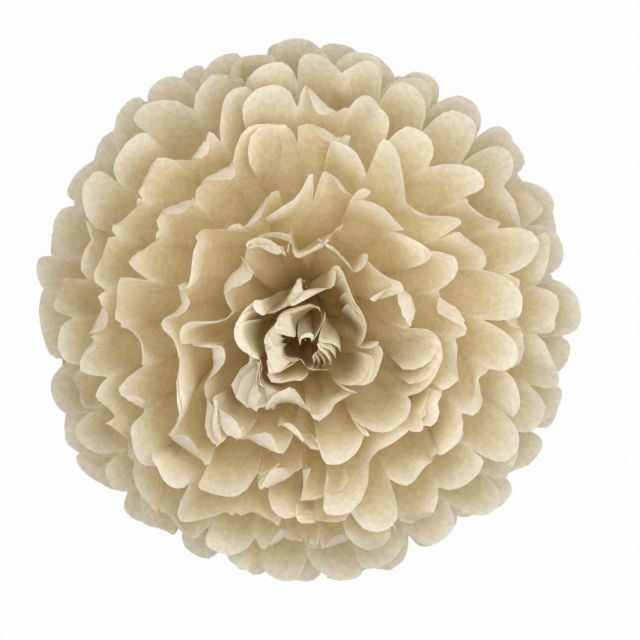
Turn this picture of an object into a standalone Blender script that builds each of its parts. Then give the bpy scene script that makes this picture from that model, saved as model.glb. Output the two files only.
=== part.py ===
"""Paper flower ball: sixteen pleated tissue sheets tied round the waist and opened.

Every sheet is folded into pleats, its two ends are cut round, and the whole pile is tied
across the middle with a wire. Both ends are then fanned out into a disc. Half of the
sheets are lifted towards the top pole and half are turned down towards the bottom pole,
so that the sheets stand one inside the other like nested, ruffled bowls.

Metres, +Z up along the flower's axis, the lowest petals standing on z = 0.
"""
import math

import bmesh
import bpy
import numpy as np

# Paper, as it is before it is tied
BALL_DIAMETER = 0.250
SHEET_WIDTH = 0.350
PLEATS = 15
SHEETS_PER_SIDE = 8
PAPER_THICKNESS = 0.00025
SHARP_FOLD_GIVE = 0.004

# Round cut at the end of each pleat
CUT_DEPTH = 0.0115
CUT_CORNER = 0.0012
CUT_FLAT_SHARE = 0.50

# Waist, where the wire gathers the pile
WAIST_WIDTH = 0.012
WAIST_PITCH = 0.0008
BEND_RADIUS = 0.0070

# How the sheets are lifted, counted in sheets from the middle of the pile
LIFT_STEP = math.radians(14.2)
LIFT_EASE = math.radians(0.373)
POLE_SHORTENING = 0.06
LEAST_SINE = 0.004

# Seams, where the two fans of a sheet meet: open at the wire, then lapped
SEAM_OPENING = 0.0056
SEAM_OVERLAP = 0.008
SEAM_OPEN_TO = 0.010
SEAM_CROSSED_AT = 0.040
SEAM_LIFT = 0.18
SEAM_TURN = 0.30

# Pleats: how far the folds stand out of a sheet, in levels, and how many lie folded back
SWING_AT_WAIST = 0.36
SWING_AT_RIM = 0.20
LEAST_SWING = 0.08
SWING_FROM = 0.0026
ROOM_USED = 0.46
FOLDED_BACK = 0.35
STACKED_BACK = 0.88
WIDEST_PETAL = math.radians(40)

# Petals: the free ends cup, rise, curl and sway, each stack its own way
PETAL_FREE_LENGTH = 0.020
PETAL_FLATTENING = 0.70
FOLDED_EDGE = 0.2
CUP_FROM = 0.30
CUP_TO = 0.90
CUP = -0.06
CUP_SPREAD = 0.08
CURL_FROM = 0.70
RISE_SPREAD = 0.13
RISE_SPREAD_AT_POLE = 0.14
CURL = -0.05
CURL_AT_POLE = 0.20
CURL_SPREAD = 0.24
SWAY_SPREAD = 0.14
CREASED_SHARE = 0.18
CREASE = 0.45

# Hand-made unevenness
LENGTH_UNEVENNESS = 0.020
SHARE_UNEVENNESS = 0.14
FOLD_UNEVENNESS = 0.12
TWIST = math.radians(17.0)
LEAST_TWIST = math.radians(8.5)
TWIST_FROM = 0.008
TWIST_TO = 0.050
SEED = 41

# Slow waves round the axis (count, size, start): the petals lean and cling together
LEAN = 0.30
LEAN_DRIFT = 0.35
LEAN_WAVES = ((2, 0.5, 1.0), (3, 0.7, 4.0), (5, 0.6, 2.2), (7, 0.5, 0.3))
CLING = 0.10
CLING_WAVES = ((1, 1.7, 0.4), (2, 1.2, 2.1), (3, 0.8, 5.0))

# Stand: the lowest petals give way a little under the ball's weight
REST_DEPTH = 0.006
REST_SPREAD = 0.10

# Tie wire
WIRE_DIAMETER = 0.0008
WIRE_CLEARANCE = 0.0016
WIRE_SEAT_IN_SEAM = 0.0030
TAIL_LENGTH = 0.045
TAIL_TURNS = 3
EYE_DIAMETER = 0.0045
EYE_RISE = 0.0005
WIRE_END_LENGTH = 0.004
STRAND_GAP = 0.0003
POINTS_PER_TURN = 6
EYE_POINTS = 11
EYE_MOUTH = math.radians(65)

PAPER_COLOUR = (0.85, 0.76, 0.58, 1.0)
WIRE_COLOUR = (0.45, 0.36, 0.14, 1.0)

BALL_RADIUS = BALL_DIAMETER / 2
PLEAT_WIDTH = SHEET_WIDTH / PLEATS
ROWS = (0.08, 0.22)


def clear_scene():
    """Empty the scene of objects and of the collections that held them."""
    for obj in list(bpy.data.objects):
        bpy.data.objects.remove(obj, do_unlink=True)
    for collection in list(bpy.data.collections):
        bpy.data.collections.remove(collection)


def make_material(name, colour, roughness, metallic):
    """Return a Principled material of one colour."""
    material = bpy.data.materials.new(name)
    material.use_nodes = True
    shader = material.node_tree.nodes["Principled BSDF"]
    shader.inputs["Base Color"].default_value = colour
    shader.inputs["Roughness"].default_value = roughness
    shader.inputs["Metallic"].default_value = metallic
    return material


def smooth_step(value, start, end):
    """Rise smoothly from 0 at start to 1 at end."""
    t = np.clip((value - start) / (end - start), 0, 1)
    return t * t * (3 - 2 * t)


def cone_profile(level, run):
    """Distance from the axis and height, at run along the paper from the waist.

    The sheet leaves the waist flat and bends up within a short radius, smaller for the
    sheets near the pole, and then runs nearly straight to its rim.
    """
    height = np.abs(level)
    lift = height * (LIFT_STEP - LIFT_EASE * height)
    bend = BEND_RADIUS + WAIST_PITCH * (SHEETS_PER_SIDE - height)
    flat_part = 1 / np.sqrt(1 + (run / bend) ** 2)
    flat_at_rim = 1 / np.sqrt(1 + (BALL_RADIUS / bend) ** 2)
    cone = (np.cos(lift) - flat_at_rim) / (1 - flat_at_rim)
    sine = np.clip(cone + (1 - cone) * flat_part, LEAST_SINE, 1.0)
    return run * sine, np.sign(level) * run * np.sqrt(1 - sine ** 2)


def fan_shares(level, draw):
    """Shares of the half fan that the pleats take at the rim, their stacks and their folds.

    Where the rim is too short for all the pleats, some are folded back behind the others
    and take a negative share, so that the open ones keep their width and overlap as tiles.
    Some are folded back so far that the pleats beside them lie in one stack. The folds
    stand by turns above and below the sheet, from 1 to -1, and climb evenly in a stack.
    """
    across, _ = cone_profile(level, BALL_RADIUS)
    widest = min(PLEAT_WIDTH / across, WIDEST_PETAL) / math.pi
    opened = round((1 / widest + FOLDED_BACK * PLEATS) / (1 + FOLDED_BACK))
    folded = int(np.clip(PLEATS - opened, 0, PLEATS // 2))
    shares = np.zeros((2, PLEATS))
    stack = np.zeros((2, PLEATS), dtype=int)
    fold = np.arange(PLEATS + 1)
    turn = np.tile(np.where(fold % 2 == 0, 1.0, -1.0), (2, 1))
    for half in (0, 1):
        order = draw.permutation(PLEATS - 1 - folded)
        back = 1 + np.sort(order[:folded]) + np.arange(folded)
        inner = draw.permutation(back[(back > 1) & (back < PLEATS - 2)])
        most = min(len(inner), max(folded - 1, 0))
        flat = inner[:int(np.clip((PLEATS - folded - 1 / widest) / STACKED_BACK, 0, most))]
        begins = np.ones(PLEATS, dtype=bool)
        begins[back] = False
        begins[flat + 1] = False
        stack[half] = np.cumsum(begins) - 1
        widths = widest * np.exp(SHARE_UNEVENNESS * draw.uniform(-1, 1, PLEATS))[stack[half]]
        shares[half] = widths
        shares[half, back] = 0
        shares[half, flat] = -STACKED_BACK * widths[flat]
        spread = np.setdiff1d(back, flat)
        if len(spread):
            shares[half, spread] = (1 - shares[half].sum()) / len(spread)
        ends = np.setdiff1d(fold, np.concatenate([flat, flat + 1]))
        turn[half] = np.interp(fold, ends, turn[half, ends])
    return shares / shares.sum(axis=1, keepdims=True), stack, turn


def leaning(level, angle, outer):
    """Level after the petals have leant and clung together, here and there.

    First a lean that changes slowly round the axis and fades out at the poles, then a
    wave in level that draws neighbouring sheets together in pairs. Both are too weak to
    change the order of the sheets, so none cross.
    """
    lean = sum(size * np.sin(count * angle + start + LEAN_DRIFT * level)
               for count, size, start in LEAN_WAVES)
    level = level + LEAN * outer * lean * (1 - (level / SHEETS_PER_SIDE) ** 4)
    phase = sum(size * np.sin(count * angle + start) for count, size, start in CLING_WAVES)
    return level + CLING * outer * np.sin(math.pi * level + phase)


class Sheet:
    """One pleated sheet, at its place in the pile.

    level is the sheet's place counted from the middle of the pile: 0.5 and -0.5 are the
    two flat sheets at the middle, and the largest is the sheet nearest to the pole.
    """

    def __init__(self, level, number):
        draw = np.random.default_rng(SEED + number)
        self.level = level
        shares, stack, self.turn = fan_shares(level, draw)
        edges = np.concatenate([np.zeros((2, 1)), np.cumsum(shares, axis=1)], axis=1)
        self.fold_share = edges / edges[:, -1:]
        jitter = FOLD_UNEVENNESS * draw.uniform(-1, 1, (2, PLEATS + 1))
        fold_stack = np.concatenate([stack, stack[:, -1:]], axis=1)
        self.fold_jitter = np.take_along_axis(jitter, fold_stack, axis=1)
        length = BALL_RADIUS * (1 - LENGTH_UNEVENNESS * draw.uniform(-1, 1, (2, PLEATS)))
        self.length = length * (1 - POLE_SHORTENING * abs(level) / SHEETS_PER_SIDE)
        beside = np.concatenate([self.length[:, :1], self.length, self.length[:, -1:]], axis=1)
        self.notch = np.minimum(beside[:, :-1], beside[:, 1:]) - CUT_DEPTH
        self.twist = draw.uniform(LEAST_TWIST, TWIST) * (1 if number % 2 else -1)
        inside = (level / SHEETS_PER_SIDE) ** 2
        cup = CUP + CUP_SPREAD * draw.normal(0, 1, (2, PLEATS))
        rise = (RISE_SPREAD + RISE_SPREAD_AT_POLE * inside) * draw.normal(0, 1, (2, PLEATS))
        curl = CURL + CURL_AT_POLE * inside + CURL_SPREAD * draw.normal(0, 1, (2, PLEATS))
        sway = SWAY_SPREAD * draw.normal(0, 1, (2, PLEATS))
        creased = draw.uniform(0, 1, (2, PLEATS)) < CREASED_SHARE
        crease = np.where(creased, CREASE * draw.choice([-1, 1], (2, PLEATS)), 0.0)
        self.cup, self.rise, self.curl, self.sway, self.crease = (
            np.take_along_axis(values, stack, axis=1) for values in (cup, rise, curl, sway, crease))

    def fold_swing(self, half, fold, run):
        """How far a fold stands out of the sheet's own level, so that the paper keeps its width."""
        gaps = np.diff(self.fold_share)
        gaps = np.concatenate([gaps[:, :1], gaps, gaps[:, -1:]], axis=1)
        gap = ((gaps[:, :-1] + gaps[:, 1:]) / 2)[half, fold]
        outer = np.clip(run / BALL_RADIUS, 0, 1)
        across, _ = cone_profile(self.level, run)
        spacing = across * math.pi * (1 / PLEATS + (gap - 1 / PLEATS) * outer)
        depth = 0.5 * np.sqrt(np.maximum(PLEAT_WIDTH ** 2 - spacing ** 2, 0.0))
        room = (LIFT_STEP - 2 * LIFT_EASE * abs(self.level)) * np.maximum(run, SWING_FROM)
        most = SWING_AT_WAIST + (SWING_AT_RIM - SWING_AT_WAIST) * outer ** 2
        return np.clip(depth / room, LEAST_SWING, most) * run / (run + 2 * BEND_RADIUS)

    def seam_offset(self, half, fold):
        """How far the first and last folds stand above or below the other half's, in levels."""
        side = np.where(half == 0, 1.0, -1.0)
        way = np.where(fold % 2 == 0, 1.0, -1.0)
        at_seam = (fold == 0) | (fold == PLEATS)
        return np.where(at_seam, SEAM_LIFT * side - SEAM_TURN * way, 0.0)

    def petal_offset(self, half, pleat, f, run, fold):
        """How far the free end of a pleat stands out of its folds, f being the way across it.

        fold is how far the straight pleat there stands out of the middle of its two folds.
        """
        width = np.diff(self.fold_share)[half, pleat]
        outer = np.clip(run / BALL_RADIUS, 0, 1)
        across, _ = cone_profile(self.level, run)
        taken = math.pi * across * np.abs(1 / PLEATS + (width - 1 / PLEATS) * outer)
        openness = np.clip(taken / PLEAT_WIDTH, 0, 1)
        from_middle = np.abs(2 * f - 1)
        edge = (1 - from_middle ** 3) * (FOLDED_EDGE + (1 - FOLDED_EDGE) * openness)
        body = smooth_step(outer, CUP_FROM, CUP_TO)
        tip = smooth_step(outer, CURL_FROM, 1) ** 2
        start = self.notch.min(axis=1)[half] - PETAL_FREE_LENGTH
        free = smooth_step(run, start, self.length[half, pleat])
        offset = self.cup[half, pleat] * edge * body + self.curl[half, pleat] * edge * tip
        offset = offset + (self.rise[half, pleat] - PETAL_FLATTENING * fold) * edge * free
        offset = offset + self.crease[half, pleat] * (1 - from_middle) * openness * free
        return offset, self.sway[half, pleat] * np.abs(width) * edge * free

    def place(self, across_pleats, along):
        """Places in the opened ball of points of the flat sheet."""
        position = np.clip(across_pleats / PLEAT_WIDTH, 0, PLEATS)
        pleat = np.minimum(position.astype(int), PLEATS - 1)
        f = position - pleat
        half = (along < 0).astype(int)
        side = np.where(half == 0, 1.0, -1.0)
        run = np.abs(along)
        outer = np.clip(run / BALL_RADIUS, 0, 1)

        near = self.turn[half, pleat] * self.fold_swing(half, pleat, run)
        far = self.turn[half, pleat + 1] * self.fold_swing(half, pleat + 1, run)
        zigzag = near * (1 - f) + far * f
        fold = zigzag - (near + far) / 2
        near = self.fold_jitter[half, pleat] + self.seam_offset(half, pleat)
        far = self.fold_jitter[half, pleat + 1] + self.seam_offset(half, pleat + 1)
        uneven = (near * (1 - f) + far * f) * outer
        own, sway = self.petal_offset(half, pleat, f, run, fold)
        offset = ROOM_USED * np.tanh((zigzag + uneven + own) / ROOM_USED)

        even = position / PLEATS
        share = self.fold_share[half, pleat] * (1 - f) + self.fold_share[half, pleat + 1] * f
        share = even + (share - even) * outer
        crossed = smooth_step(run, SEAM_OPEN_TO, SEAM_CROSSED_AT)
        opening = SEAM_OPENING - (SEAM_OPENING + SEAM_OVERLAP) * crossed
        across, _ = cone_profile(self.level + offset, run)
        half_fan = np.arccos(np.clip(opening / 2 / np.maximum(across, SEAM_OPENING), -1, 1))
        angle = half_fan * (2 * (share + sway) - 1)
        around = np.where(half == 0, angle, math.pi - angle)
        around = around + self.twist * smooth_step(run, TWIST_FROM, TWIST_TO)

        across, height = cone_profile(leaning(self.level + offset, around, outer), run)
        waist_y = WAIST_WIDTH * (even - 0.5) * (1 - outer)
        return np.stack([
            across * np.cos(around),
            across * np.sin(around) + waist_y,
            height + WAIST_PITCH * self.level,
        ], axis=-1)


def fold_sheet(name, level, number, material, collection):
    """Cut one flat sheet, pleat it and open it. Returns its object."""
    sheet = Sheet(level, number)
    mesh = bpy.data.meshes.new(name)
    flat = bmesh.new()
    rows_per_half = len(ROWS) + 1
    bmesh.ops.create_grid(flat, x_segments=PLEATS, y_segments=2 * rows_per_half, size=0.5)
    runs = [0.0] + [BALL_RADIUS * share for share in ROWS]
    for vertex in flat.verts:
        fold = round((vertex.co.x + 0.5) * PLEATS)
        row = round(vertex.co.y * 2 * rows_per_half)
        half = 1 if row < 0 else 0
        run = sheet.notch[half, fold] if abs(row) == rows_per_half else runs[abs(row)]
        vertex.co = (fold * PLEAT_WIDTH, math.copysign(run, row), 0)
    cut_round_ends(flat, sheet)
    pleat_of_face = flat.faces.layers.int.new("pleat")
    for face in flat.faces:
        face[pleat_of_face] = int(face.calc_center_median().x / PLEAT_WIDTH)
    points = np.array([vertex.co for vertex in flat.verts])
    points = sheet.place(points[:, 0], points[:, 1])
    for vertex, point in zip(flat.verts, points):
        vertex.co = point
    bmesh.ops.triangulate(flat, faces=flat.faces[:])
    bmesh.ops.recalc_face_normals(flat, faces=flat.faces[:])
    flat.to_mesh(mesh)
    flat.free()
    mesh.materials.append(material)
    obj = bpy.data.objects.new(name, mesh)
    collection.objects.link(obj)
    return obj


def cut_round_ends(flat, sheet):
    """Give the end of each pleat its rounded lobe, between two notches at the folds."""
    ends = [edge for edge in flat.edges if edge.is_boundary and
            abs(edge.verts[0].co.x - edge.verts[1].co.x) > PLEAT_WIDTH / 2]
    for edge in ends:
        low = min(vertex.co.x for vertex in edge.verts)
        pleat = round(low / PLEAT_WIDTH)
        half = 1 if edge.verts[0].co.y < 0 else 0
        grown = bmesh.ops.extrude_edge_only(flat, edges=[edge])["geom"]
        corners = [item for item in grown if isinstance(item, bmesh.types.BMVert)]
        run = sheet.length[half, pleat] - CUT_CORNER
        for corner in corners:
            centre = (pleat + 0.5) * PLEAT_WIDTH
            offset = math.copysign(CUT_FLAT_SHARE * PLEAT_WIDTH / 2, corner.co.x - centre)
            corner.co = (centre + offset, run if half == 0 else -run, 0)


def half_thickness(points, triangles, pleats):
    """Way from each corner of the folded surface to its upper skin.

    Both panels that meet in a fold are to have half the paper's thickness there, which
    sets the corner by least squares. At a sharp fold it would go far out, and gives way.
    """
    corners = points[triangles]
    normal = np.cross(corners[:, 1] - corners[:, 0], corners[:, 2] - corners[:, 0])
    area = np.linalg.norm(normal, axis=1)
    normal /= area[:, None]
    side = np.repeat((pleats % 2)[:, None], 3, axis=1)
    panel = np.zeros((len(points), 2))
    np.add.at(panel, (triangles, side), area[:, None])
    weight = area[:, None] / panel[triangles, side] / (panel > 0).sum(axis=1)[triangles]
    weighted = weight[..., None] * normal[:, None]
    spread = np.zeros((len(points), 3, 3))
    np.add.at(spread, triangles, weighted[..., :, None] * normal[:, None, None, :])
    wanted = np.zeros((len(points), 3))
    np.add.at(wanted, triangles, weighted)
    spread += SHARP_FOLD_GIVE * np.eye(3)
    return np.linalg.solve(spread, wanted[..., None])[..., 0] * PAPER_THICKNESS / 2


def add_thickness(obj):
    """Turn the folded surface into paper: a lower and an upper skin, closed at the edges."""
    shell = bmesh.new()
    shell.from_mesh(obj.data)
    shell.verts.ensure_lookup_table()
    number = shell.verts.layers.int.new("number")
    for vertex in shell.verts:
        vertex[number] = vertex.index
    pleat_of_face = shell.faces.layers.int["pleat"]
    points = np.array([vertex.co for vertex in shell.verts])
    triangles = np.array([[vertex.index for vertex in face.verts] for face in shell.faces])
    pleats = np.array([face[pleat_of_face] for face in shell.faces])
    half = half_thickness(points, triangles, pleats)
    lower = shell.verts[:] + shell.edges[:] + shell.faces[:]
    grown = bmesh.ops.extrude_face_region(shell, geom=lower, use_keep_orig=True)["geom"]
    upper = {item for item in grown if isinstance(item, bmesh.types.BMVert)}
    for vertex in shell.verts:
        way = 1 if vertex in upper else -1
        vertex.co = points[vertex[number]] + way * half[vertex[number]]
    bmesh.ops.triangulate(shell, faces=shell.faces[:])
    bmesh.ops.recalc_face_normals(shell, faces=shell.faces[:])
    if shell.calc_volume(signed=True) < 0:
        bmesh.ops.reverse_faces(shell, faces=shell.faces[:])
    shell.to_mesh(obj.data)
    shell.free()


def wire_leg():
    """Points of one half of the wire, from its lower end up to the foot of the eye."""
    seam_y = WAIST_WIDTH / 2 + WIRE_SEAT_IN_SEAM
    half_pile = WAIST_PITCH * (SHEETS_PER_SIDE - 0.5)
    over = half_pile + WIRE_DIAMETER / 2 + WIRE_CLEARANCE
    strand = (WIRE_DIAMETER + STRAND_GAP) / 2
    corner = WIRE_DIAMETER
    points = [
        (0, strand, -over - WIRE_END_LENGTH),
        (0, strand, -over - corner),
        (0, strand + corner, -over),
        (0, seam_y - corner, -over),
        (0, seam_y, corner - over),
        (0, seam_y, over - corner),
        (0, seam_y - corner, over),
        (0, strand + corner, over),
    ]
    steps = POINTS_PER_TURN * TAIL_TURNS
    for step in range(steps + 1):
        angle = math.pi / 2 + 2 * math.pi * TAIL_TURNS * step / steps
        height = over + corner + TAIL_LENGTH * step / steps
        points.append((strand * math.cos(angle), strand * math.sin(angle), height))
    return points


def wire_eye(foot):
    """Points of the eye, a ring that stands on the tail, from one strand to the other."""
    radius = (EYE_DIAMETER + WIRE_DIAMETER) / 2
    centre = foot + radius + EYE_RISE
    points = []
    for step in range(EYE_POINTS):
        angle = -EYE_MOUTH + (math.pi + 2 * EYE_MOUTH) * step / (EYE_POINTS - 1)
        points.append((0, radius * math.cos(angle), centre + radius * math.sin(angle)))
    return points


def make_tie_wire(collection):
    """Bend the tie wire: round the waist through both seams, twisted, with an eye on top."""
    leg = wire_leg()
    other = [(-x, -y, z) for x, y, z in reversed(leg)]
    points = leg + wire_eye(leg[-1][2]) + other
    curve = bpy.data.curves.new("tie_wire", "CURVE")
    curve.dimensions = "3D"
    curve.bevel_depth = WIRE_DIAMETER / 2
    curve.bevel_resolution = 1
    curve.use_fill_caps = True
    spline = curve.splines.new("POLY")
    spline.points.add(len(points) - 1)
    for point, place in zip(spline.points, points):
        point.co = (*place, 1.0)
    curve.materials.append(make_material("Tie wire", WIRE_COLOUR, 0.35, 1.0))
    wire = bpy.data.objects.new("tie_wire", curve)
    collection.objects.link(wire)
    return wire


def stand_on_table(sheets, wire):
    """Move everything so that the lowest petals stand on z = 0 under the middle."""
    clouds = []
    for sheet in sheets:
        cloud = np.empty(len(sheet.data.vertices) * 3)
        sheet.data.vertices.foreach_get("co", cloud)
        clouds.append(cloud.reshape(-1, 3))
    everything = np.concatenate(clouds)
    lowest = everything[:, 2].min()
    floor = lowest + REST_DEPTH
    table = floor - REST_DEPTH * REST_SPREAD - PAPER_THICKNESS / 2
    middle = (everything.min(axis=0) + everything.max(axis=0)) / 2
    shift = np.array([-middle[0], -middle[1], -table])
    for sheet, cloud in zip(sheets, clouds):
        low = cloud[:, 2] < floor
        cloud[low, 2] = floor + (cloud[low, 2] - floor) * REST_SPREAD
        sheet.data.vertices.foreach_set("co", (cloud + shift).ravel())
        sheet.data.update()
        add_thickness(sheet)
    for point in wire.data.splines[0].points:
        point.co.x += shift[0]
        point.co.y += shift[1]
        point.co.z += shift[2]


def build():
    """Model the ball: the sheets from the bottom of the pile to its top, then the wire."""
    clear_scene()
    collection = bpy.data.collections.new("Paper flower ball")
    bpy.context.scene.collection.children.link(collection)
    sheets = []
    for number in range(1, 2 * SHEETS_PER_SIDE + 1):
        level = number - SHEETS_PER_SIDE - 0.5
        name = f"sheet_{number:02d}"
        material = make_material(f"Tissue {number:02d}", PAPER_COLOUR, 0.9, 0.0)
        sheets.append(fold_sheet(name, level, number, material, collection))
    wire = make_tie_wire(collection)
    stand_on_table(sheets, wire)


build()
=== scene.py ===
"""Paper flower ball of pleated tissue sheets, seen from above its upper pole."""
import math

import bpy
import numpy as np
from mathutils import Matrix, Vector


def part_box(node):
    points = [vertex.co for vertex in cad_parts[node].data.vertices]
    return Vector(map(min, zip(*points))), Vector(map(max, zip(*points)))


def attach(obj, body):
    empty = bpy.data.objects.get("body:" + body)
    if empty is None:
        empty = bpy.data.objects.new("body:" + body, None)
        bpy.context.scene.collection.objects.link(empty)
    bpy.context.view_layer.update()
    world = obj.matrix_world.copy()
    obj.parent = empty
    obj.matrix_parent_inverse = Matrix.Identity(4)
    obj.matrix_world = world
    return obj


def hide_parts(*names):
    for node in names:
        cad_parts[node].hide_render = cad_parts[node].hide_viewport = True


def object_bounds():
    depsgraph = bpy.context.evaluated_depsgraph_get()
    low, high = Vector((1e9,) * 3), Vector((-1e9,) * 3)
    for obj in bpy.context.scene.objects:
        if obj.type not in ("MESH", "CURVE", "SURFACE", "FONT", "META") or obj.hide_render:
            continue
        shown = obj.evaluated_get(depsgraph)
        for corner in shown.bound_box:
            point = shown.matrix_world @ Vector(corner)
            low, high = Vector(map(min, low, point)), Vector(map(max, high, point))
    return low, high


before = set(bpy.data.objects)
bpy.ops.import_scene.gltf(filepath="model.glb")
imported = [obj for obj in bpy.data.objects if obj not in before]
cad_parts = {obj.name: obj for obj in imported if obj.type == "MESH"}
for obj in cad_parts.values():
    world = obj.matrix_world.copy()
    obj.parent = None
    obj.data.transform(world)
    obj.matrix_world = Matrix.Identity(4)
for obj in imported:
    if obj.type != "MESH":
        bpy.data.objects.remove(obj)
cad_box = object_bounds()


# Tissue paper
# One material for all sheets: thin ivory tissue, matte, with cloudy fibres that show where
# light comes through. Light and shade are painted into its colour by distance from the cut
# edge: a painted highlight along the cut edge, painted shade in a tan band below it where the
# petals shade each other, and painted bounce light that makes it paler again towards the waist.
CUT_EDGE_PAINTED_HIGHLIGHT = (0.95, 0.93, 0.87)
TISSUE_PAINTED_LIGHT_AND_SHADE = (
    (0.012, (0.93, 0.893, 0.80)),
    (0.06, (0.89, 0.837, 0.705)),
    (0.15, (0.81, 0.73, 0.535)),
    (0.26, (0.75, 0.645, 0.415)),
    (0.50, (0.92, 0.835, 0.62)),
)
WAIST_PAINTED_BOUNCE_LIGHT = (0.95, 0.88, 0.68)
WARMED_THROUGH = (1.0, 0.95, 0.80)
LIGHT_THROUGH = 0.50
FIBRE_SCALE = 340.0
FIBRE_DETAIL = 6.0
FIBRE_ROUGHNESS = 0.7
CLOUDS = ((0.3, 0.7), (0.91, 1.05))
MOTTLES = ((0.35, 0.65), (0.90, 1.07))
BUMP_STRENGTH = 0.25
FIBRE_HEIGHT = 0.0004
TISSUE_ROUGHNESS = 0.75
TISSUE_SHINE = 0.2


def ranged(nodes, links, value, span, reach):
    """Socket that runs through reach, low to high, while value runs through span."""
    node = nodes.new("ShaderNodeMapRange")
    node.inputs["From Min"].default_value, node.inputs["From Max"].default_value = span
    node.inputs["To Min"].default_value, node.inputs["To Max"].default_value = reach
    links.new(value, node.inputs["Value"])
    return node.outputs["Result"]


def multiplied(nodes, links, colour, other):
    """Socket of a colour times another socket, or times three fixed numbers."""
    node = nodes.new("ShaderNodeMix")
    node.data_type = "RGBA"
    node.blend_type = "MULTIPLY"
    node.inputs["Factor"].default_value = 1.0
    links.new(colour, node.inputs["A"])
    if isinstance(other, tuple):
        node.inputs["B"].default_value = (*other, 1)
    else:
        links.new(other, node.inputs["B"])
    return node.outputs["Result"]


def tissue_material():
    """Matte paper that lets half of the light through, warmer and more mottled, with a painted
    highlight, painted shade and painted bounce light along each petal.
    """
    material = bpy.data.materials.new("ivory_tissue")
    material.use_nodes = True
    nodes = material.node_tree.nodes
    links = material.node_tree.links
    nodes.clear()

    from_edge = nodes.new("ShaderNodeAttribute")
    from_edge.attribute_name = "from_edge"
    # This ramp paints light and shade: a painted highlight at the cut edge, painted shade below
    # it and painted bounce light towards the waist.
    tone = nodes.new("ShaderNodeValToRGB")
    ramp = tone.color_ramp
    ramp.elements[0].position = 0.0
    ramp.elements[0].color = (*CUT_EDGE_PAINTED_HIGHLIGHT, 1)
    ramp.elements[1].position = 1.0
    ramp.elements[1].color = (*WAIST_PAINTED_BOUNCE_LIGHT, 1)
    for position, colour in TISSUE_PAINTED_LIGHT_AND_SHADE:
        ramp.elements.new(position).color = (*colour, 1)
    links.new(from_edge.outputs["Fac"], tone.inputs["Fac"])

    place = nodes.new("ShaderNodeTexCoord")
    fibres = nodes.new("ShaderNodeTexNoise")
    fibres.inputs["Scale"].default_value = FIBRE_SCALE
    fibres.inputs["Detail"].default_value = FIBRE_DETAIL
    fibres.inputs["Roughness"].default_value = FIBRE_ROUGHNESS
    links.new(place.outputs["Object"], fibres.inputs["Vector"])
    clouds = ranged(nodes, links, fibres.outputs["Fac"], *CLOUDS)
    mottles = ranged(nodes, links, fibres.outputs["Fac"], *MOTTLES)
    paper = multiplied(nodes, links, tone.outputs["Color"], clouds)
    warmed = multiplied(nodes, links, paper, WARMED_THROUGH)
    mottled = multiplied(nodes, links, warmed, mottles)

    bump = nodes.new("ShaderNodeBump")
    bump.inputs["Strength"].default_value = BUMP_STRENGTH
    bump.inputs["Distance"].default_value = FIBRE_HEIGHT
    links.new(fibres.outputs["Fac"], bump.inputs["Height"])

    surface = nodes.new("ShaderNodeBsdfPrincipled")
    surface.inputs["Roughness"].default_value = TISSUE_ROUGHNESS
    surface.inputs["Specular IOR Level"].default_value = TISSUE_SHINE
    links.new(paper, surface.inputs["Base Color"])
    links.new(bump.outputs["Normal"], surface.inputs["Normal"])
    through = nodes.new("ShaderNodeBsdfTranslucent")
    links.new(mottled, through.inputs["Color"])
    both = nodes.new("ShaderNodeMixShader")
    both.inputs["Fac"].default_value = LIGHT_THROUGH
    links.new(surface.outputs["BSDF"], both.inputs[1])
    links.new(through.outputs["BSDF"], both.inputs[2])
    output = nodes.new("ShaderNodeOutputMaterial")
    links.new(both.outputs["Shader"], output.inputs["Surface"])
    return material


tissue = tissue_material()


# Pleated sheets
# Each sheet is one piece of tissue, folded into fifteen pleats, cut round at both ends, tied
# across its middle and fanned out. The upper eight are lifted towards the upper pole and the
# lower eight turned down. Cut ends spring free of the folds, curl and lean each its own way.
BALL_RADIUS = 0.125
PLEATS = 15
SHEETS_PER_SIDE = 8
PLEAT_WIDTH = 0.350 / PLEATS
CUT_DEPTH = 0.0115
TANGENT_ANGLES = np.radians([18, 45, 72, 100, 128, 162])
CUT_TILT = math.radians(7)
LENGTH_UNEVENNESS = 0.020
POLE_SHORTENING = 0.06
SHEET_SEED = 41

# How the pile bends up from its waist, and how far each sheet is lifted.
WAIST_WIDTH = 0.012
WAIST_PITCH = 0.0008
BEND_RADIUS = 0.0070
LIFT_STEP = math.radians(14.2)
LIFT_EASE = math.radians(0.373)
LEAST_SINE = 0.004
TWIST = math.radians(17.0)
LEAST_TWIST_SHARE = 0.5
TWIST_FROM = 0.008
TWIST_TO = 0.050

# How the sheets lean and cling together: waves of (count round the axis, size, start).
LEAN = 0.30
LEAN_WAVES = ((2, 0.5, 1.0), (3, 0.7, 4.0), (5, 0.6, 2.2), (7, 0.5, 0.3))
LEAN_DRIFT = 0.35
CLING = 0.10
CLING_WAVES = ((1, 1.7, 0.4), (2, 1.2, 2.1), (3, 0.8, 5.0))

# The seams between the two half fans, which open for the wire and then overlap.
SEAM_OPENING = 0.0012
SEAM_OVERLAP = 0.008
SEAM_OPEN_TO = 0.008
SEAM_CROSSED_AT = 0.032
SEAM_LIFT = 0.18
SEAM_TURN = 0.30

# The folds: how far they stand out of the sheet, in levels, and the pleats that fold back.
PLEAT_SWING = 0.36
RIM_SWING = 0.20
LEAST_SWING = 0.08
LEAST_ROOM_AT = PLEAT_WIDTH / 9
FOLD_UNEVENNESS = 0.17
SHARE_UNEVENNESS = 0.14
FOLDED_BACK = 0.35
STACKED_BACK = 0.88
WIDEST_PETAL = math.radians(40)
WIDEST_POLE_PETAL = math.radians(70)
POLE_LEVEL = 6

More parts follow.
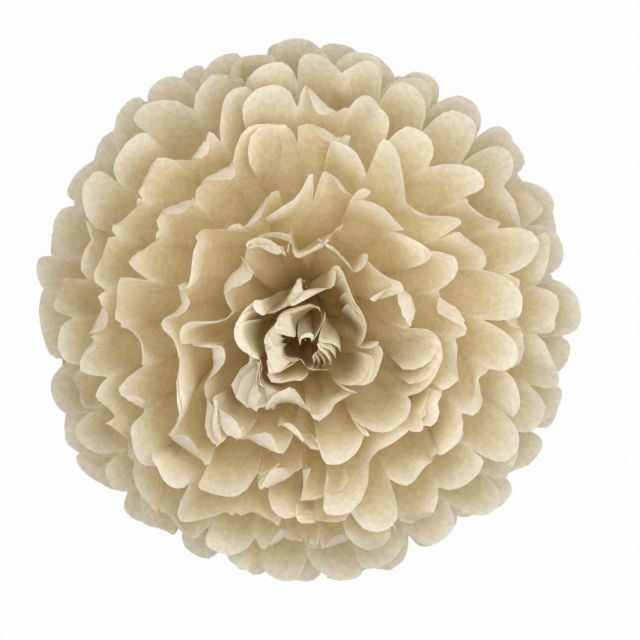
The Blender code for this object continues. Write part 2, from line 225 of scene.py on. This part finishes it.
# Each petal's own shape, in levels: mean, spread, and what is added towards the poles.
CUP, CUP_SPREAD = -0.06, 0.08
CUP_FROM, CUP_TO = 0.30 * BALL_RADIUS, 0.90 * BALL_RADIUS
RISE_SPREAD, RISE_SPREAD_INSIDE = 0.20, 0.10
CURL, CURL_INSIDE, CURL_SPREAD = -0.05, 0.20, 0.24
CURL_FROM = 0.70 * BALL_RADIUS
SWAY_SPREAD = 0.19
CREASED_SHARE = 0.26
CREASE = 0.60
FLATTENED = 0.70
RIPPLE = 0.03
ROLL_SPREAD = 0.50
MIDDLE_DROOP = 0.38
RUFFLED_MORE = 0.6
RUFFLED_SIDE = math.radians(150)
FREE_BELOW_NOTCH = 0.020
NARROW_PETAL_SHAPE = 0.2
ROOM_USED = 0.46

# Tips that are folded over: how many, how deep, at what slope, how far and to which side.
TURNED_SHARE = 0.85
TURNED_OUTSIDE = 0.12
TURNED_FREELY = 4
TURNED_DEPTH = (0.0055, 0.0110)
TURNED_SLOPE = math.radians(38)
TURNED_BY = (math.radians(55), math.radians(140))
TURNED_OUTWARD = (0.15, 0.80)
TURNED_BEND = 0.0012

# The mesh, the depth over which light and shade are painted from the cut edge, and the petals
# that the ball stands on.
COLUMNS_PER_PLEAT = 12
ROWS_PER_HALF = 84
ROW_CROWDING = 0.7
SHARP_FOLD = math.radians(50)
PAINTED_LIGHT_DEPTH = 0.080
REST_LEVEL = 0.00073
REST_SPREAD = 0.10
ABOVE_FLOOR = 0.0001

# The waist's middle, found from the wire that ties it: its ends reach below the pile.
WIRE_DIAMETER = 0.0008
WIRE_CLEARANCE = 0.0016
WIRE_END_LENGTH = 0.004

wire_low, wire_high = (np.array(corner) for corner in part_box("tie_wire"))
over_pile = WAIST_PITCH * (SHEETS_PER_SIDE - 0.5) + WIRE_DIAMETER / 2 + WIRE_CLEARANCE
waist = (wire_low + wire_high) / 2
waist[2] = wire_low[2] + over_pile + WIRE_END_LENGTH


def smooth_step(value, start, end):
    """3t^2 - 2t^3, where t runs from 0 at start to 1 at end."""
    t = np.clip((value - start) / (end - start), 0, 1)
    return t * t * (3 - 2 * t)


def cone_profile(level, run):
    """Distance from the axis and height of a sheet at run along the paper.

    The sine of the sheet's polar angle falls from 1 at the waist, by 1/sqrt(1 + (run/bend)^2),
    to that of the sheet's rim, so the sheet bends up near the waist and then runs straight.
    """
    height = np.abs(level)
    lift = height * (LIFT_STEP - LIFT_EASE * height)
    bend = BEND_RADIUS + WAIST_PITCH * (SHEETS_PER_SIDE - height)
    flat_part = 1 / np.sqrt(1 + (run / bend) ** 2)
    flat_at_rim = 1 / np.sqrt(1 + (BALL_RADIUS / bend) ** 2)
    cone = (np.cos(lift) - flat_at_rim) / (1 - flat_at_rim)
    sine = np.clip(cone + (1 - cone) * flat_part, LEAST_SINE, 1.0)
    return run * sine, np.sign(level) * run * np.sqrt(1 - sine ** 2)


def fan_shares(level, draw):
    """Shares of the half fan that the pleats take at the rim, their stacks and their folds.

    Where the rim is too short for fifteen pleats, some are folded back behind the others
    and take a negative share, so that the open ones keep their width and overlap as tiles.
    Some are folded back so far that the pleats beside them lie in one stack. The folds
    stand by turns above and below the sheet, from 1 to -1, and climb evenly in a stack.
    """
    across, _ = cone_profile(level, BALL_RADIUS)
    limit = WIDEST_POLE_PETAL if abs(level) > POLE_LEVEL else WIDEST_PETAL
    widest = min(PLEAT_WIDTH / across, limit) / math.pi
    opened = round((1 / widest + FOLDED_BACK * PLEATS) / (1 + FOLDED_BACK))
    folded = int(np.clip(PLEATS - opened, 0, PLEATS // 2))
    shares = np.zeros((2, PLEATS))
    stack = np.zeros((2, PLEATS), dtype=int)
    fold = np.arange(PLEATS + 1)
    turn = np.tile(np.where(fold % 2 == 0, 1.0, -1.0), (2, 1))
    for half in (0, 1):
        order = draw.permutation(PLEATS - 1 - folded)
        back = 1 + np.sort(order[:folded]) + np.arange(folded)
        inner = draw.permutation(back[(back > 1) & (back < PLEATS - 2)])
        most = min(len(inner), max(folded - 1, 0))
        flat = inner[:int(np.clip((PLEATS - folded - 1 / widest) / STACKED_BACK, 0, most))]
        begins = np.ones(PLEATS, dtype=bool)
        begins[back] = False
        begins[flat + 1] = False
        stack[half] = np.cumsum(begins) - 1
        widths = widest * np.exp(SHARE_UNEVENNESS * draw.uniform(-1, 1, PLEATS))[stack[half]]
        shares[half] = widths
        shares[half, back] = 0
        shares[half, flat] = -STACKED_BACK * widths[flat]
        spread = np.setdiff1d(back, flat)
        if len(spread):
            shares[half, spread] = (1 - shares[half].sum()) / len(spread)
        ends = np.setdiff1d(fold, np.concatenate([flat, flat + 1]))
        turn[half] = np.interp(fold, ends, turn[half, ends])
    return shares / shares.sum(axis=1, keepdims=True), stack, turn


def petal_shapes(level, fold_share, draw):
    """Each petal's own random shape, by half and pleat, in levels, metres and radians.

    Petals on the ruffled side of the ball roll, rise and turn their tips more than the rest:
    1 + more cos(angle - side). The two middle sheets droop towards each other.
    """
    inside = (level / SHEETS_PER_SIDE) ** 2
    each = (2, PLEATS)
    cup = CUP + CUP_SPREAD * draw.normal(0, 1, each)
    rise = (RISE_SPREAD + RISE_SPREAD_INSIDE * inside) * draw.normal(0, 1, each)
    curl = CURL + CURL_INSIDE * inside + CURL_SPREAD * draw.normal(0, 1, each)
    sway = SWAY_SPREAD * draw.normal(0, 1, each)
    creased = draw.uniform(0, 1, each) < CREASED_SHARE
    crease = np.where(creased, CREASE * draw.choice([-1, 1], each), 0.0)
    ripple_start = draw.uniform(0, 2 * math.pi, each)
    cut_tilt = CUT_TILT * draw.uniform(-1, 1, (*each, len(TANGENT_ANGLES)))
    middle = (fold_share[:, :-1] + fold_share[:, 1:]) / 2
    middle_angle = math.pi * (middle - 0.5) * [[1], [-1]] + [[0], [math.pi]]
    ruffled = 1 + RUFFLED_MORE * np.cos(middle_angle - RUFFLED_SIDE)
    roll = ROLL_SPREAD * ruffled * draw.normal(0, 1, each)
    freely = TURNED_OUTSIDE + (1 - TURNED_OUTSIDE) * smooth_step(abs(level), 0, TURNED_FREELY)
    turned = draw.uniform(0, 1, each) < TURNED_SHARE * ruffled * freely
    turned_depth = draw.uniform(*TURNED_DEPTH, each)
    turned_slope = TURNED_SLOPE * draw.uniform(-1, 1, each)
    chance = TURNED_OUTWARD[0] + (TURNED_OUTWARD[1] - TURNED_OUTWARD[0]) * inside
    outward = np.where(draw.uniform(0, 1, each) < chance, -1, 1) * np.sign(level)
    return {
        "cup": cup,
        "rise": rise * (1 + (ruffled - 1) / 2),
        "curl": curl - MIDDLE_DROOP * np.sign(level) * (abs(level) < 1),
        "sway": sway,
        "crease": crease,
        "ripple_start": ripple_start,
        "cut_tilt": cut_tilt,
        "roll": roll,
        "turned": turned,
        "turned_depth": turned_depth,
        "turned_slope": turned_slope,
        "turned_by": draw.uniform(*TURNED_BY, each) * outward,
    }


def leaning(level, angle, outer):
    """Level after the petals have leant and clung together, here and there.

    First a lean that changes slowly round the axis and fades out at the poles, then
    level + a sin(pi level + phase), which draws neighbouring sheets together in pairs. Both
    keep the sheets in their order, because each has a slope under 1 in level.
    """
    lean = sum(size * np.sin(count * angle + start + LEAN_DRIFT * level)
               for count, size, start in LEAN_WAVES)
    level = level + LEAN * outer * lean * (1 - (level / SHEETS_PER_SIDE) ** 4)
    phase = sum(size * np.sin(count * angle + start) for count, size, start in CLING_WAVES)
    return level + CLING * outer * np.sin(math.pi * level + phase)


def panel_angle(share, outer):
    """Angle that a panel takes up: pi (1/n + (share - 1/n) outer), even at the waist."""
    return math.pi * (1 / PLEATS + (share - 1 / PLEATS)[None, :] * outer)


def fold_swing(level, run, gap):
    """How far a fold stands out of its sheet, in levels, so that the paper keeps its width.

    gap is the angle that the pleats beside the fold take up.
    """
    across, _ = cone_profile(level, run)
    spacing = across * gap
    depth = 0.5 * np.sqrt(np.maximum(PLEAT_WIDTH ** 2 - spacing ** 2, 0.0))
    room = (LIFT_STEP - 2 * LIFT_EASE * abs(level)) * np.maximum(run, LEAST_ROOM_AT)
    most = PLEAT_SWING + (RIM_SWING - PLEAT_SWING) * np.clip(run / BALL_RADIUS, 0, 1) ** 2
    return np.clip(depth / room, LEAST_SWING, most) * run / (run + 2 * BEND_RADIUS)


def cut_outline(across, tilt):
    """Height of a hand-cut lobe over its notches, from 0 to 1: the least of six straight cuts.

    Each cut touches an ellipse at its own angle a: y = (1 - x cos a) / sin a.
    """
    x = 2 * across - 1
    angles = TANGENT_ANGLES[None, :, None] + tilt[:, :, None]
    cuts = (1 - x[None, None, :] * np.cos(angles)) / np.sin(angles)
    return np.clip(cuts.min(axis=1), 0, 1) * (1 - np.abs(x) ** 10)


def pleated_sheet(number):
    """Vertex grid of one sheet: rows from one cut end through the waist to the other.

    A point lies at an angle round the axis, at a run along the paper and at a level in the
    pile. Its level is the sheet's own, plus the zigzag of the folds, plus the petal's own
    cup, rise, crease, roll and curl, kept below half the room to the next sheet by
    room tanh(x / room), so that none cross. A turned tip is the paper past a sloping line:
    at d past it, the paper lies d cos(turn) on in the sheet and d sin(turn) out of it.
    """
    level = number - SHEETS_PER_SIDE - 0.5
    draw = np.random.default_rng(SHEET_SEED + number)
    shares, stack, turn = fan_shares(level, draw)
    edges = np.concatenate([np.zeros((2, 1)), np.cumsum(shares, axis=1)], axis=1)
    fold_share = edges / edges[:, -1:]
    fold_jitter = FOLD_UNEVENNESS * draw.uniform(-1, 1, (2, PLEATS + 1))
    length = BALL_RADIUS * (1 - LENGTH_UNEVENNESS * draw.uniform(-1, 1, (2, PLEATS)))
    length = length * (1 - POLE_SHORTENING * abs(level) / SHEETS_PER_SIDE)
    twist = TWIST * (1 if number % 2 else -1) * draw.uniform(LEAST_TWIST_SHARE, 1)
    shapes = petal_shapes(level, fold_share, draw)

    step = np.arange(COLUMNS_PER_PLEAT) / COLUMNS_PER_PLEAT
    within = 0.5 - 0.5 * np.cos(math.pi * step)
    position = np.append((np.arange(PLEATS)[:, None] + within[None, :]).ravel(), PLEATS)
    pleat = np.minimum(position.astype(int), PLEATS - 1)
    f = position - pleat
    row = (np.arange(ROWS_PER_HALF + 1) / ROWS_PER_HALF) ** ROW_CROWDING
    from_middle = np.abs(2 * f[None, :] - 1)

    def between_folds(values):
        """Values at the folds, carried straight across each pleat."""
        return values[pleat] * (1 - f) + values[pleat + 1] * f

    def petal(name):
        """A petal's own value at each column; the pleats of a stack share one."""
        return shapes[name][half][stack[half]][pleat][None, :]

    grids = []
    edge_painted_light = []
    for half, side in ((0, 1.0), (1, -1.0)):
        beside = np.concatenate([length[half, :1], length[half], length[half, -1:]])
        notch = np.minimum(beside[:-1], beside[1:]) - CUT_DEPTH
        lobe_end = length[half][pleat]
        base = between_folds(notch)
        outlines = cut_outline(np.append(within, 1.0), shapes["cut_tilt"][half])
        shape = np.append(outlines[:, :-1].ravel(), 0.0)
        tip = base + (lobe_end - base) * shape
        run = row[:, None] * tip[None, :]
        outer = np.clip(run / BALL_RADIUS, 0, 1)
        fc = f[None, :]
        free = smooth_step(run, notch.min() - FREE_BELOW_NOTCH, lobe_end[None, :])
        body = smooth_step(run, CUP_FROM, CUP_TO)

        pleat_gap = np.diff(fold_share[half])
        beside_fold = np.concatenate([pleat_gap[:1], pleat_gap, pleat_gap[-1:]])
        fold_gap = (beside_fold[:-1] + beside_fold[1:]) / 2
        near_gap = panel_angle(fold_gap[pleat], outer)
        far_gap = panel_angle(fold_gap[pleat + 1], outer)
        near = turn[half][pleat] * fold_swing(level, run, near_gap)
        far = turn[half][pleat + 1] * fold_swing(level, run, far_gap)
        soft = fc * fc * (3 - 2 * fc)
        mixed = fc + (soft - fc) * body
        zigzag = near * (1 - mixed) + far * mixed
        uneven = between_folds(fold_jitter[half][np.append(stack[half], stack[half][-1])])
        seam = np.zeros(PLEATS + 1)
        seam[0] = SEAM_LIFT * side - SEAM_TURN
        seam[-1] = SEAM_LIFT * side - SEAM_TURN * (1 if PLEATS % 2 == 0 else -1)
        at_folds = (uneven + between_folds(seam))[None, :] * outer

        width = panel_angle(pleat_gap[pleat], outer)
        openness = np.clip(np.abs(width) * cone_profile(level, run)[0] / PLEAT_WIDTH, 0, 1)
        way = np.sign(pleat_gap[pleat])[None, :]
        across_petal = 1 - from_middle ** 3
        slope = petal("turned_slope")
        beyond = (run - lobe_end[None, :] + petal("turned_depth")) * np.cos(slope)
        beyond = beyond + PLEAT_WIDTH * openness * (fc - 0.5) * way * np.sin(slope)
        flap = (beyond + np.hypot(beyond, TURNED_BEND)) / 2 * across_petal * petal("turned")
        drawn_in = flap * (1 - np.cos(petal("turned_by")))
        reach = run - drawn_in * np.cos(slope)
        level_room = (LIFT_STEP - 2 * LIFT_EASE * abs(level)) * np.maximum(run, PLEAT_WIDTH)

        edge = across_petal * (NARROW_PETAL_SHAPE + (1 - NARROW_PETAL_SHAPE) * openness)
        loose = edge * free
        ripple = RIPPLE * np.sin(2 * math.pi * from_middle + petal("ripple_start"))
        own = petal("cup") * edge * body
        own = own + flap * np.sin(petal("turned_by")) / level_room
        own = own + petal("crease") * (1 - from_middle) * openness * free
        own = own + (petal("rise") + petal("roll") * (2 * fc - 1) * way + ripple) * loose
        own = own - FLATTENED * (zigzag - (near + far) / 2) * loose
        own = own + petal("curl") * edge * smooth_step(run, CURL_FROM, BALL_RADIUS) ** 2
        offset = ROOM_USED * np.tanh((zigzag + at_folds + own) / ROOM_USED)

        even = position[None, :] / PLEATS
        share = even + (between_folds(fold_share[half])[None, :] - even) * outer
        crossed = smooth_step(run, SEAM_OPEN_TO, SEAM_CROSSED_AT)
        opening = SEAM_OPENING - (SEAM_OPENING + SEAM_OVERLAP) * crossed
        across, _ = cone_profile(level + offset, reach)
        half_fan = np.arccos(np.clip(opening / 2 / np.maximum(across, SEAM_OPENING), -1, 1))
        angle = half_fan * (2 * share - 1)
        angle = angle + petal("sway") * np.abs(pleat_gap[pleat][None, :] * 2 * half_fan) * loose
        angle = angle - drawn_in * way * np.sin(slope) / np.maximum(across, PLEAT_WIDTH / 2)

        around = np.where(side > 0, angle, math.pi - angle)
        around = around + twist * smooth_step(run, TWIST_FROM, TWIST_TO)
        outer = np.clip(reach / BALL_RADIUS, 0, 1)
        across, height = cone_profile(leaning(level + offset, around, outer), reach)
        x = across * np.cos(around) + waist[0]
        y = across * np.sin(around) + WAIST_WIDTH * (even - 0.5) * (1 - outer) + waist[1]
        z = height + WAIST_PITCH * level + waist[2]
        pressed = np.maximum(REST_LEVEL + (z - REST_LEVEL) * REST_SPREAD, ABOVE_FLOOR)
        grids.append(np.stack([x, y, np.where(z < REST_LEVEL, pressed, z)], axis=-1))
        # Where each point lies in the painted light ramp: 0 at the cut edge, which gets the
        # painted highlight, rising through the painted shade to the painted bounce light near the
        # waist.
        edge_painted_light.append(np.clip((tip[None, :] - run) / PAINTED_LIGHT_DEPTH, 0, 1))
    points = np.concatenate([grids[1][:0:-1], grids[0]])
    painted_light = np.concatenate([edge_painted_light[1][:0:-1], edge_painted_light[0]])
    return points, painted_light


def grid_mesh(name, points):
    """Mesh of quads over a grid of points, smooth but for the sharp folds."""
    rows, columns = points.shape[:2]
    index = np.arange(rows * columns).reshape(rows, columns)
    quads = np.stack([index[:-1, :-1], index[:-1, 1:], index[1:, 1:], index[1:, :-1]], axis=-1)
    mesh = bpy.data.meshes.new(name)
    mesh.from_pydata(points.reshape(-1, 3), [], quads.reshape(-1, 4))
    mesh.shade_smooth()
    mesh.set_sharp_from_angle(angle=SHARP_FOLD)
    return mesh


for number in range(1, 2 * SHEETS_PER_SIDE + 1):
    points, painted_light = pleated_sheet(number)
    name = f"petals_{number:02d}"
    mesh = grid_mesh(name, points)
    # from_edge carries the painted highlight, painted shade and painted bounce light into the
    # tissue colour.
    layer = mesh.attributes.new("from_edge", "FLOAT", "POINT")
    layer.data.foreach_set("value", painted_light.ravel().astype(np.float32))
    mesh.materials.append(tissue)
    petals = bpy.data.objects.new(name, mesh)
    bpy.context.scene.collection.objects.link(petals)
    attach(petals, "root")
    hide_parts(f"sheet_{number:02d}")


# Tie wire
# One soft brass-coloured wire round the waist of the pile, twisted to a tail in the hollow
# above it and ending in an eye. It is drawn wire, bent by hand and slightly dull.
WIRE_DARK = (0.30, 0.23, 0.07)
WIRE_LIGHT = (0.55, 0.44, 0.17)
WIRE_ROUGHNESS = 0.50
WIRE_GRAIN = 900.0


def wire_material():
    """Dull yellow metal, mottled by handling."""
    material = bpy.data.materials.new("craft_wire")
    material.use_nodes = True
    nodes = material.node_tree.nodes
    links = material.node_tree.links
    shader = nodes["Principled BSDF"]
    shader.inputs["Metallic"].default_value = 1.0
    shader.inputs["Roughness"].default_value = WIRE_ROUGHNESS
    grain = nodes.new("ShaderNodeTexNoise")
    grain.inputs["Scale"].default_value = WIRE_GRAIN
    place = nodes.new("ShaderNodeTexCoord")
    links.new(place.outputs["Object"], grain.inputs["Vector"])
    tone = nodes.new("ShaderNodeValToRGB")
    tone.color_ramp.elements[0].color = (*WIRE_DARK, 1)
    tone.color_ramp.elements[1].color = (*WIRE_LIGHT, 1)
    links.new(grain.outputs["Fac"], tone.inputs["Fac"])
    links.new(tone.outputs["Color"], shader.inputs["Base Color"])
    return material


wire = bpy.data.objects["tie_wire"]
wire.data.materials.clear()
wire.data.materials.append(wire_material())


# Camera
# The photograph looks down on the upper pole from a little to the +Y side, so that the pole
# shows below the ball's middle. The ball stands a little left of and above the middle.
VIEW_LEAN = math.radians(7.4)
VIEW_DISTANCE = 1.30
VIEW_LENS_MM = 158.8
BALL_LEFT_OF_MIDDLE = 13.3 / 640
BALL_ABOVE_MIDDLE = 7.0 / 640

ball_middle = (np.array(cad_box[0]) + np.array(cad_box[1])) / 2
towards_eye = np.array([0, math.sin(VIEW_LEAN), math.cos(VIEW_LEAN)])
camera_data = bpy.data.cameras.new("camera")
camera_data.lens = VIEW_LENS_MM
camera_data.sensor_width = 36.0
camera_data.shift_x = BALL_LEFT_OF_MIDDLE
camera_data.shift_y = -BALL_ABOVE_MIDDLE
camera = bpy.data.objects.new("camera", camera_data)
camera.location = ball_middle + VIEW_DISTANCE * towards_eye
camera.rotation_euler = (-VIEW_LEAN, 0, 0)
bpy.context.scene.collection.objects.link(camera)
bpy.context.scene.camera = camera


# Floor and light
# A plain white surface under the ball, an even sky, and one soft lamp close above the upper
# pole, a little off its axis, which shines into the hollow between the petals.
WHITE = (1, 1, 1, 1)
FLOOR_HALF = 1.5
FLOOR_COLOUR = (0.8, 0.8, 0.8, 1)
FLOOR_ROUGHNESS = 0.9
FLOOR_WHITENESS = 0.95
SKY_LIGHT = 0.80
LAMP_PLACE = (0.05, 0.06, 0.44)
LAMP_WIDTH = 0.18
LAMP_WATTS = 0.45


def seen_directly(nodes, links, share):
    """Socket that is the share where the eye, a reflection or a view through meets it."""
    rays = nodes.new("ShaderNodeLightPath")
    total = rays.outputs["Is Camera Ray"]
    for kind in ("Is Glossy Ray", "Is Transmission Ray"):
        larger = nodes.new("ShaderNodeMath")
        larger.operation = "MAXIMUM"
        links.new(total, larger.inputs[0])
        links.new(rays.outputs[kind], larger.inputs[1])
        total = larger.outputs["Value"]
    scaled = nodes.new("ShaderNodeMath")
    scaled.operation = "MULTIPLY"
    scaled.inputs[1].default_value = share
    links.new(total, scaled.inputs[0])
    return scaled.outputs["Value"]


floor_mesh = bpy.data.meshes.new("floor")
floor_mesh.from_pydata(
    [(-FLOOR_HALF, -FLOOR_HALF, 0), (FLOOR_HALF, -FLOOR_HALF, 0),
     (FLOOR_HALF, FLOOR_HALF, 0), (-FLOOR_HALF, FLOOR_HALF, 0)], [], [(0, 1, 2, 3)])
floor = bpy.data.objects.new("floor", floor_mesh)
bpy.context.scene.collection.objects.link(floor)
floor_material = bpy.data.materials.new("white_floor")
floor_material.use_nodes = True
floor_nodes = floor_material.node_tree.nodes
floor_links = floor_material.node_tree.links
matte = floor_nodes["Principled BSDF"]
matte.inputs["Base Color"].default_value = FLOOR_COLOUR
matte.inputs["Roughness"].default_value = FLOOR_ROUGHNESS
white = floor_nodes.new("ShaderNodeEmission")
white.inputs["Color"].default_value = WHITE
white.inputs["Strength"].default_value = 1.0
floor_mix = floor_nodes.new("ShaderNodeMixShader")
floor_links.new(seen_directly(floor_nodes, floor_links, FLOOR_WHITENESS), floor_mix.inputs["Fac"])
floor_links.new(matte.outputs["BSDF"], floor_mix.inputs[1])
floor_links.new(white.outputs["Emission"], floor_mix.inputs[2])
floor_links.new(floor_mix.outputs["Shader"], floor_nodes["Material Output"].inputs["Surface"])
floor_mesh.materials.append(floor_material)

sky = bpy.data.worlds.new("sky")
bpy.context.scene.world = sky
sky.use_nodes = True
sky_nodes = sky.node_tree.nodes
sky_links = sky.node_tree.links
even_light = sky_nodes["Background"]
even_light.inputs["Color"].default_value = WHITE
even_light.inputs["Strength"].default_value = SKY_LIGHT
backdrop = sky_nodes.new("ShaderNodeBackground")
backdrop.inputs["Color"].default_value = WHITE
backdrop.inputs["Strength"].default_value = 1.0
sky_mix = sky_nodes.new("ShaderNodeMixShader")
sky_links.new(seen_directly(sky_nodes, sky_links, 1.0), sky_mix.inputs["Fac"])
sky_links.new(even_light.outputs["Background"], sky_mix.inputs[1])
sky_links.new(backdrop.outputs["Background"], sky_mix.inputs[2])
sky_links.new(sky_mix.outputs["Shader"], sky_nodes["World Output"].inputs["Surface"])

lamp_data = bpy.data.lights.new("soft_lamp", "AREA")
lamp_data.shape = "DISK"
lamp_data.size = LAMP_WIDTH
lamp_data.energy = LAMP_WATTS
lamp = bpy.data.objects.new("soft_lamp", lamp_data)
lamp.location = LAMP_PLACE
from_ball = np.array(lamp.location) - ball_middle
lamp.rotation_euler = (
    0, math.atan2(math.hypot(from_ball[0], from_ball[1]), from_ball[2]),
    math.atan2(from_ball[1], from_ball[0]))
bpy.context.scene.collection.objects.link(lamp)

bpy.context.scene.view_settings.view_transform = "Standard"
